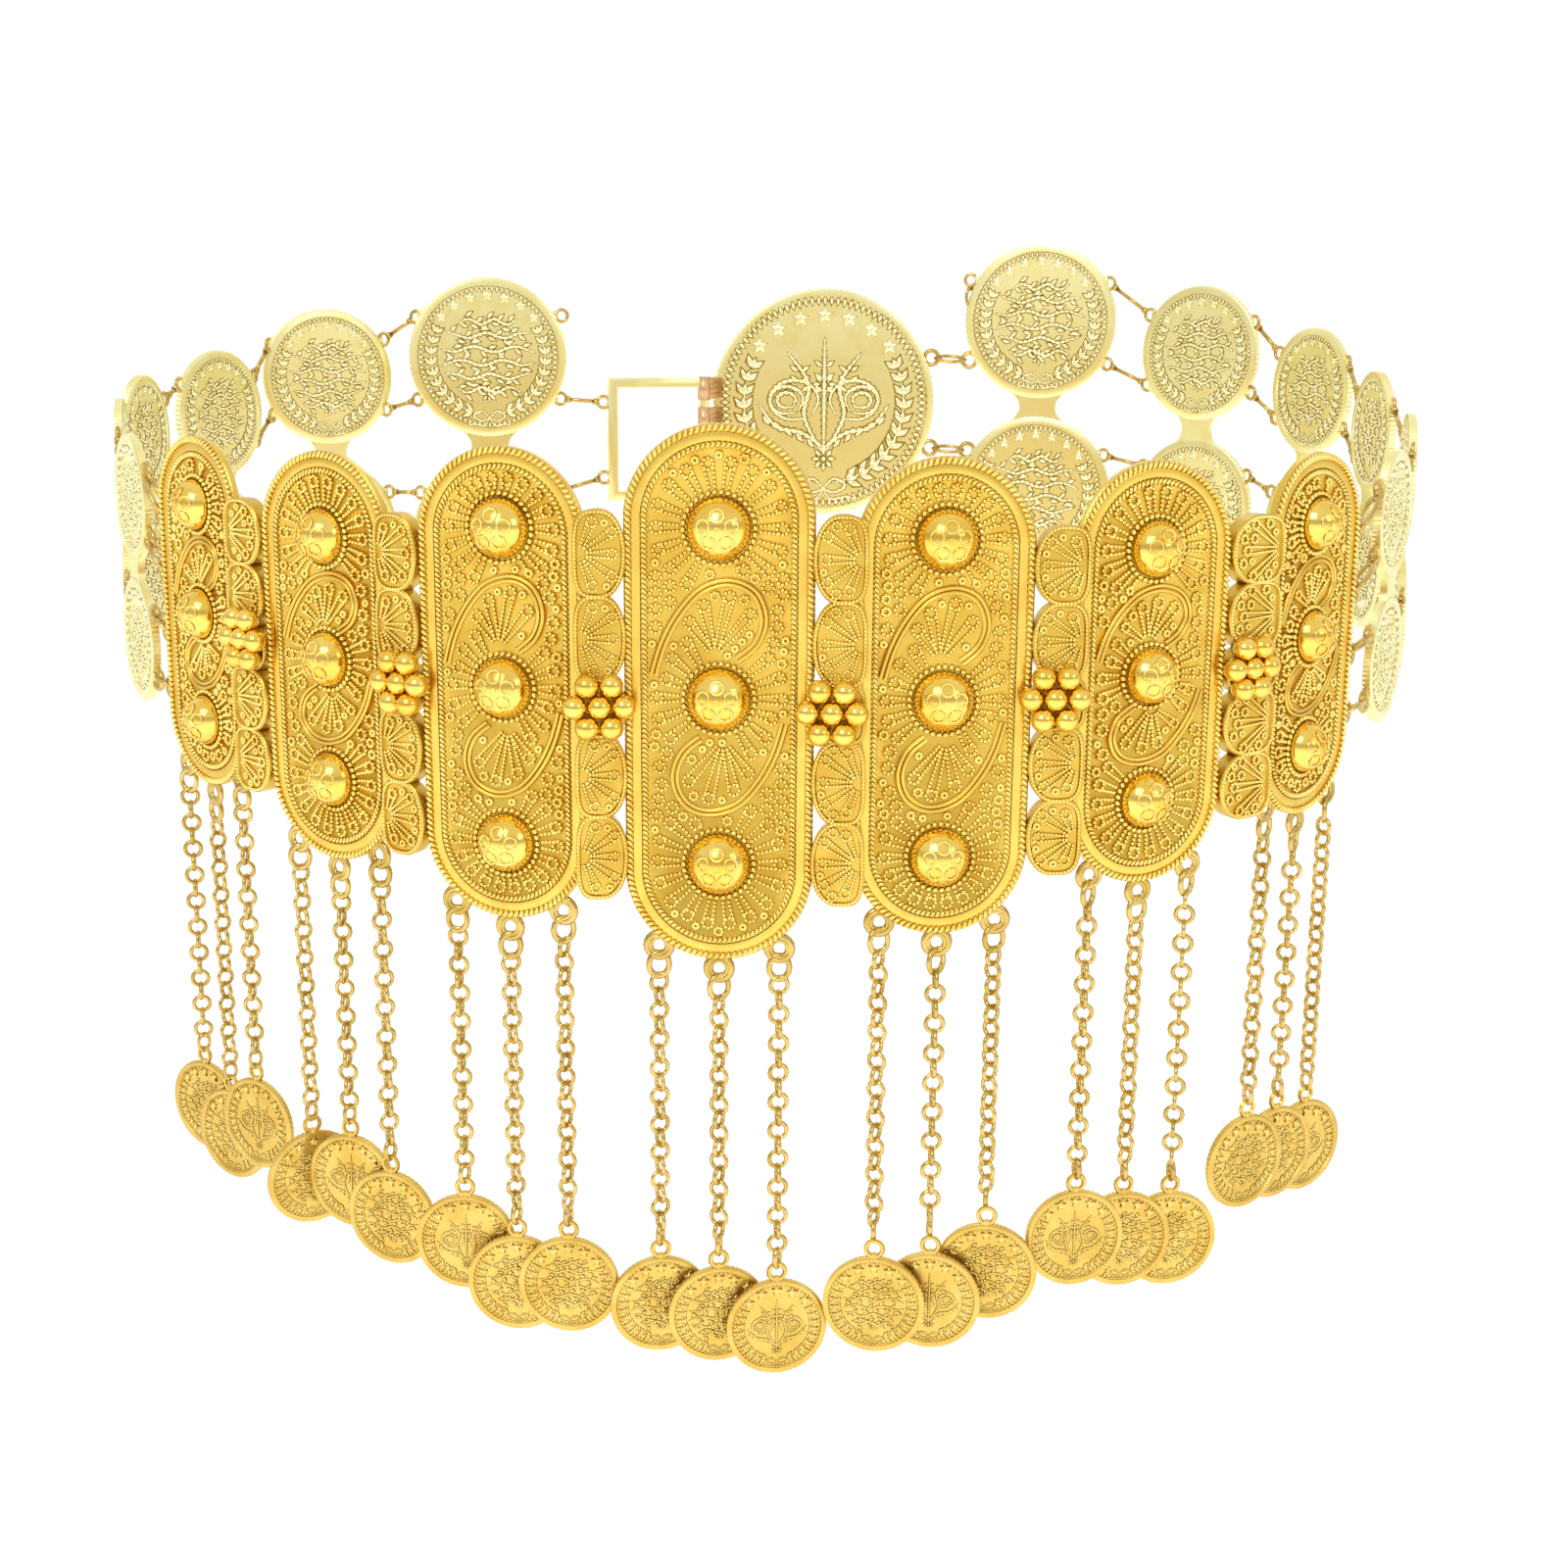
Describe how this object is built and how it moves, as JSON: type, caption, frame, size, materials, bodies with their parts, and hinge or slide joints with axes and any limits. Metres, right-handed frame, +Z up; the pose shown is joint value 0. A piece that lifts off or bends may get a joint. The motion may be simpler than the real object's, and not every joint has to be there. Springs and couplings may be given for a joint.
{
  "type": "coin waist chain",
  "caption": "Gold-toned metal waist belt for stage wear: stamped upright front plates with coin drops on chains, double coin links round the back and a disc clasp hooked into an open frame.",
  "frame": {"origin": "middle of the waist opening at mid height of the belt, where the wearer's waist is", "axes": "+Z up along the wearer, -Y to the front middle plate, +X to the viewer's right as seen from the front"},
  "size_m": [0.303, 0.2511, 0.2215],
  "materials": {
    "gilt_deep": "gilt stamped metal, deep yellow, polished high points",
    "gilt_pale": "gilt struck coins, paler yellow, satin"
  },
  "bodies": {
    "root": {"clasp_disc": "gilt_pale", "clasp_frame": "gilt_pale", "connector_centre": "gilt_deep", "connector_left_1": "gilt_deep", "connector_left_2": "gilt_deep", "connector_left_3": "gilt_deep", "connector_right_1": "gilt_deep", "connector_right_2": "gilt_deep", "drop_centre_1": "gilt_deep", "drop_centre_2": "gilt_deep", "drop_centre_3": "gilt_deep", "drop_left_1_1": "gilt_deep", "drop_left_1_2": "gilt_deep", "drop_left_1_3": "gilt_deep", "drop_left_2_1": "gilt_deep", "drop_left_2_2": "gilt_deep", "drop_left_2_3": "gilt_deep", "drop_left_3_1": "gilt_deep", "drop_left_3_2": "gilt_deep", "drop_left_3_3": "gilt_deep", "drop_right_1_1": "gilt_deep", "drop_right_1_2": "gilt_deep", "drop_right_1_3": "gilt_deep", "drop_right_2_1": "gilt_deep", "drop_right_2_2": "gilt_deep", "drop_right_2_3": "gilt_deep", "drop_right_3_1": "gilt_deep", "drop_right_3_2": "gilt_deep", "drop_right_3_3": "gilt_deep", "link_left_1": "gilt_pale", "link_left_2": "gilt_pale", "link_left_3": "gilt_pale", "link_left_4": "gilt_pale", "link_left_5": "gilt_pale", "link_left_6": "gilt_pale", "link_right_1": "gilt_pale", "link_right_2": "gilt_pale", "link_right_3": "gilt_pale", "link_right_4": "gilt_pale", "link_right_5": "gilt_pale", "link_right_6": "gilt_pale", "plate_centre": "gilt_deep", "plate_left_1": "gilt_deep", "plate_left_2": "gilt_deep", "plate_left_3": "gilt_deep", "plate_right_1": "gilt_deep", "plate_right_2": "gilt_deep", "plate_right_3": "gilt_deep"}
  },
  "joints": []
}
